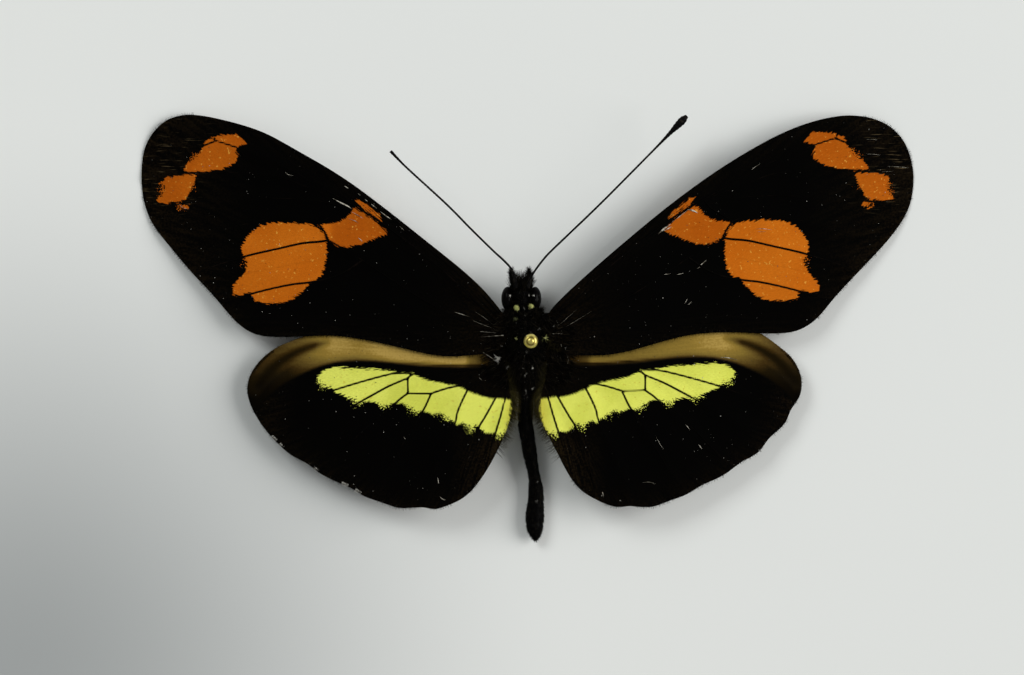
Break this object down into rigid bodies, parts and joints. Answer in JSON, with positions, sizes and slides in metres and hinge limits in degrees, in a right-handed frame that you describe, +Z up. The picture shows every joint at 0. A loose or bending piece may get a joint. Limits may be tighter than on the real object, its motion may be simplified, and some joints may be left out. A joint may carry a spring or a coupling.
{
  "type": "pinned butterfly specimen",
  "caption": "Dried longwing butterfly with spread black wings, orange and yellow patches, held on a clipped steel pin with a brass ball head.",
  "frame": {"origin": "centre of the pin's clipped flat foot, on the surface that the specimen rests on", "axes": "+Z up along the pin towards its ball head, +Y towards the insect's head, +X towards its right wings"},
  "size_m": [0.0774, 0.0427, 0.0111],
  "materials": {
    "wing_scales": "velvety black-brown scales with orange and lemon-yellow patches",
    "body_fur": "matte black, hairy",
    "eye_dark": "glossy black",
    "antenna_dark": "satin dark brown",
    "pin_steel": "drawn bright steel",
    "pin_brass": "satin yellow brass"
  },
  "bodies": {
    "root": {"abdomen": "body_fur", "antenna_left": "antenna_dark", "antenna_right": "antenna_dark", "eye_left": "eye_dark", "eye_right": "eye_dark", "foreleg_left": "antenna_dark", "foreleg_right": "antenna_dark", "forewing_left": "wing_scales", "forewing_right": "wing_scales", "head": "body_fur", "hindleg_left": "antenna_dark", "hindleg_right": "antenna_dark", "hindwing_left": "wing_scales", "hindwing_right": "wing_scales", "midleg_left": "antenna_dark", "midleg_right": "antenna_dark", "palp_left": "body_fur", "palp_right": "body_fur", "pin_head": "pin_brass", "pin_shank": "pin_steel", "proboscis": "antenna_dark", "thorax": "body_fur"}
  },
  "joints": []
}
